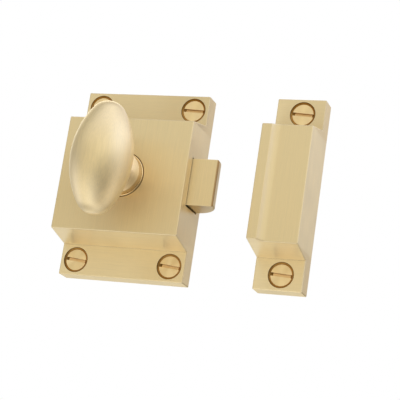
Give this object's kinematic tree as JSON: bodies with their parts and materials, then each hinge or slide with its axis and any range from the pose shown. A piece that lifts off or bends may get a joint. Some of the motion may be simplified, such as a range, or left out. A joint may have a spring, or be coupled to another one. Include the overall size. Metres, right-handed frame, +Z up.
{
  "type": "cupboard catch latch",
  "caption": "Surface-mounted cupboard latch: a box-shaped case with an oval knob that draws in a spring bolt, and a separate keeper that receives it.",
  "frame": {"origin": "centre of the case's back face, which lies on the door", "axes": "as mounted: +Z up, +Y into the door, so the front faces -Y; the bolt comes out towards +X, where the keeper stands"},
  "size_m": [0.0858, 0.0596, 0.0654],
  "materials": {
    "case_brass": "satin, brushed",
    "knob_brass": "smooth satin",
    "bush_brass": "polished",
    "bolt_brass": "satin",
    "keeper_brass": "satin, brushed",
    "screw_brass": "polished",
    "inner_steel": "plain",
    "spring_steel": "drawn wire"
  },
  "bodies": {
    "fixed": {"latch_case": "case_brass", "spindle_bush": "bush_brass", "back_bridge": "inner_steel", "keeper": "keeper_brass", "bridge_screw_1": "inner_steel", "bridge_screw_2": "inner_steel", "bridge_screw_3": "inner_steel", "bridge_screw_4": "inner_steel", "case_screw_1": "screw_brass", "case_screw_2": "screw_brass", "case_screw_3": "screw_brass", "case_screw_4": "screw_brass", "keeper_screw_1": "screw_brass", "keeper_screw_2": "screw_brass"},
    "turning_knob": {"knob": "knob_brass", "spindle": "inner_steel", "follower": "inner_steel", "spindle_washer": "inner_steel", "spindle_clip": "spring_steel"},
    "sliding_bolt": {"bolt": "bolt_brass", "bolt_spring": "spring_steel"}
  },
  "joints": [
    {"name": "knob_turn", "type": "hinge", "parent": "fixed", "child": "turning_knob", "pos_m": [0, 0, 0], "axis": [0, -1, 0], "range_deg": [0, 49.95]},
    {"name": "bolt_slide", "type": "slide", "parent": "fixed", "child": "sliding_bolt", "axis": [1, 0, 0], "range_m": [-0.0076, 0], "stiffness_N_per_m": 700, "springref_m": 0.0045, "deforming": ["bolt_spring"]}
  ],
  "couplings": [
    {"joint": "knob_turn", "follows": "bolt_slide", "rad_per_m": -114.71}
  ]
}
